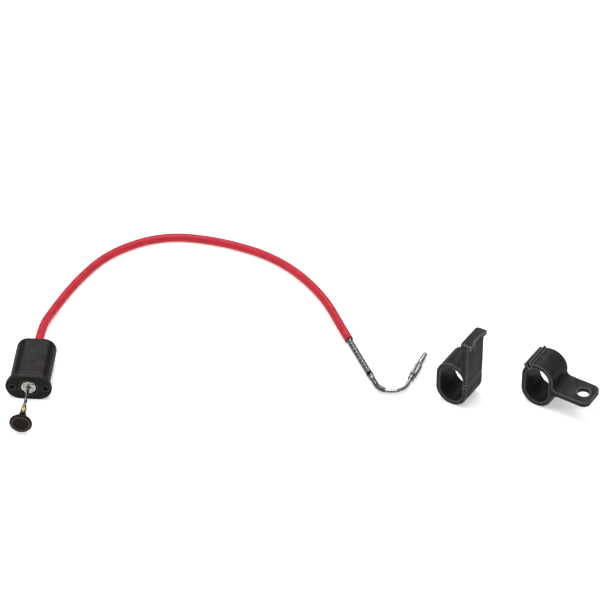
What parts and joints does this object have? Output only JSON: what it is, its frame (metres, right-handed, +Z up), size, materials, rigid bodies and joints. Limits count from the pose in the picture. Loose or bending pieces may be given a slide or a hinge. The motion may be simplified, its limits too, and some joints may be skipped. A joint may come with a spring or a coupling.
{
  "type": "cable shutter release",
  "caption": "Push-type cable shutter release with oval grip, sprung thumb plunger, stiff sheathed cable, bent metal tip with turning nipple, and two split holding clips.",
  "frame": {"origin": "middle of the flat edge the grip's flange rests on, on the surface below the plunger axis", "axes": "+Y along the plunger axis from the thumb knob into the grip, +Z up from the surface, +X to the side where the tip and clips lie"},
  "size_m": [0.3761, 0.2049, 0.053],
  "materials": {
    "black_abs": "satin moulded",
    "knob_black": "semi-gloss moulded",
    "clip_nylon": "satin moulded",
    "red_pvc": "matte extruded PVC",
    "nickel": "bright nickel plate",
    "steel": "drawn wire",
    "black_steel": "black oxide",
    "brass": "turned"
  },
  "bodies": {
    "grip": {"grip_body": "black_abs", "front_cap": "black_abs", "cap_screws": "black_steel", "guide_bush": "nickel", "bush_ring": "nickel", "guide_barrel": "brass", "conduit_anchor": "brass", "return_spring": "steel", "red_sheath": "red_pvc", "conduit": "steel", "inner_wire": "steel", "conduit_ferrule": "nickel", "bent_tube": "nickel", "bend_sleeve": "nickel", "tube_collar": "nickel", "swivel_ring": "nickel"},
    "plunger": {"plunger_rod": "steel", "rod_collar": "brass", "crimp_ferrule": "brass", "thumb_knob": "knob_black", "wire_head": "steel"},
    "pin": {"release_pin": "steel"},
    "tip": {"tip_nut": "nickel", "tip_nipple": "nickel"},
    "rail_holder": {"rail_clip": "clip_nylon"},
    "lug_holder": {"lug_clip": "clip_nylon"}
  },
  "joints": [
    {"name": "plunger_push", "type": "slide", "parent": "grip", "child": "plunger", "axis": [0, 1, 0], "range_m": [0, 0.014], "stiffness_N_per_m": 150, "springref_m": -0.008, "deforming": ["return_spring"]},
    {"name": "pin_slide", "type": "slide", "parent": "grip", "child": "pin", "axis": [0.304, 0.9527, 0], "range_m": [0, 0.014]},
    {"name": "tip_nut_turn", "type": "hinge", "parent": "grip", "child": "tip", "pos_m": [0.24399, 0.04338, 0.0028], "axis": [0.304, 0.9527, 0], "continuous": true},
    {"name": "rail_clip_lift", "type": "slide", "parent": "grip", "child": "rail_holder", "axis": [0, 0, 1], "range_m": [0, 0.06]},
    {"name": "lug_clip_lift", "type": "slide", "parent": "grip", "child": "lug_holder", "axis": [0, 0, 1], "range_m": [0, 0.06]}
  ],
  "couplings": [
    {"joint": "pin_slide", "follows": "plunger_push", "ratio": 1}
  ]
}
